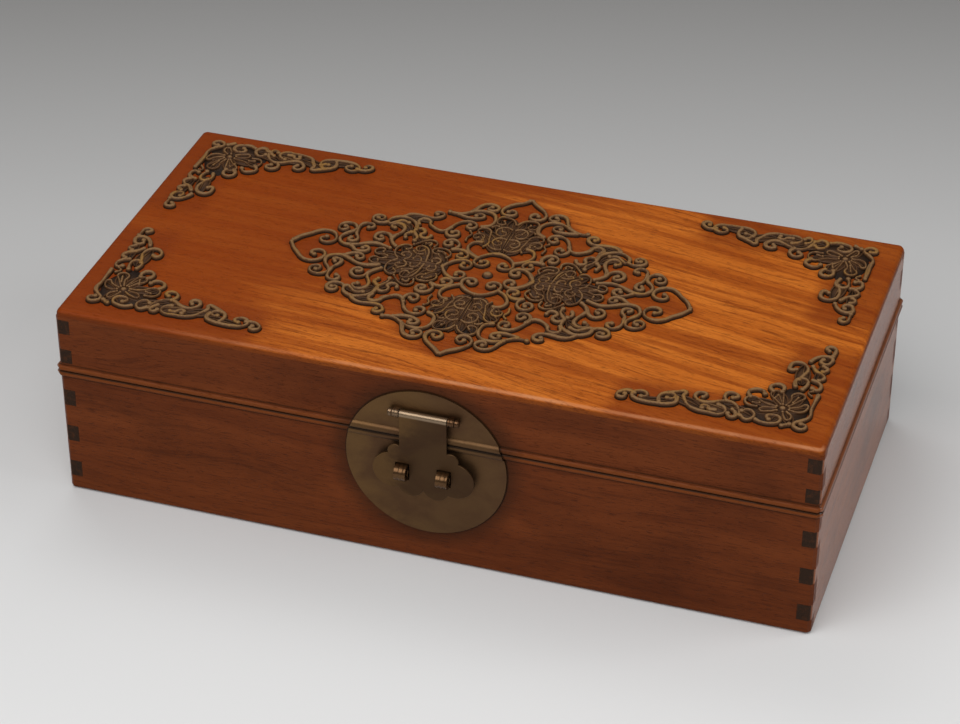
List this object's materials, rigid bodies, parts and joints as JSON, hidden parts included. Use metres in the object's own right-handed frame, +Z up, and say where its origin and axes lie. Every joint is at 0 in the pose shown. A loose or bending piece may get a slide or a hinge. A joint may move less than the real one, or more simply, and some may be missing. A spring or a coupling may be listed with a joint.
{
  "type": "hinged ink stick and stone box",
  "caption": "Low rectangular wooden box with a hinged dovetailed lid, openwork ornaments and a round brass lock plate with a swinging hasp over staples.",
  "frame": {"origin": "centre of the box's underside, which rests on the table", "axes": "+X runs along the front to its right-hand end as seen from the front, +Y runs from the front to the hinged back, +Z up"},
  "size_m": [0.4032, 0.2119, 0.1148],
  "materials": {
    "case_wood": "waxed hardwood with a dark reddish brown polish, satin",
    "top_wood": "waxed hardwood, orange brown with fine dark streaks, satin",
    "inner_wood": "plain planed hardwood, matt",
    "ornament_wood": "carved dark hardwood with rubbed ridges, satin",
    "plate_brass": "patinated sheet brass, dull with rubbed patches",
    "fitting_brass": "patinated brass, rubbed bright on the raised places"
  },
  "bodies": {
    "box": {"box_front_board": "case_wood", "box_back_board": "case_wood", "box_left_board": "case_wood", "box_right_board": "case_wood", "box_bottom_panel": "inner_wood", "stone_partition": "inner_wood", "stick_divider_1": "inner_wood", "stick_divider_2": "inner_wood", "lock_plate_lower": "plate_brass", "staple_left": "fitting_brass", "staple_right": "fitting_brass", "hinge_base_leaf_left": "fitting_brass", "hinge_base_leaf_right": "fitting_brass"},
    "lid": {"lid_front_board": "case_wood", "lid_back_board": "case_wood", "lid_left_board": "case_wood", "lid_right_board": "case_wood", "lid_top_board": "top_wood", "medallion": "ornament_wood", "corner_ornament_front_left": "ornament_wood", "corner_ornament_front_right": "ornament_wood", "corner_ornament_back_left": "ornament_wood", "corner_ornament_back_right": "ornament_wood", "lock_plate_upper": "plate_brass", "hasp_pin": "fitting_brass", "hasp_lug_left": "fitting_brass", "hasp_lug_right": "fitting_brass", "hinge_lid_leaf_left": "fitting_brass", "hinge_lid_leaf_right": "fitting_brass"},
    "hasp": {"hasp": "fitting_brass"}
  },
  "joints": [
    {"name": "lid_hinge", "type": "hinge", "parent": "box", "child": "lid", "pos_m": [0, 0.09973, 0.0755], "axis": [-1, 0, 0], "range_deg": [0, 98]},
    {"name": "hasp_swing", "type": "hinge", "parent": "lid", "child": "hasp", "pos_m": [0, -0.1024, 0.0905], "axis": [-1, 0, 0], "range_deg": [0, 175]}
  ]
}
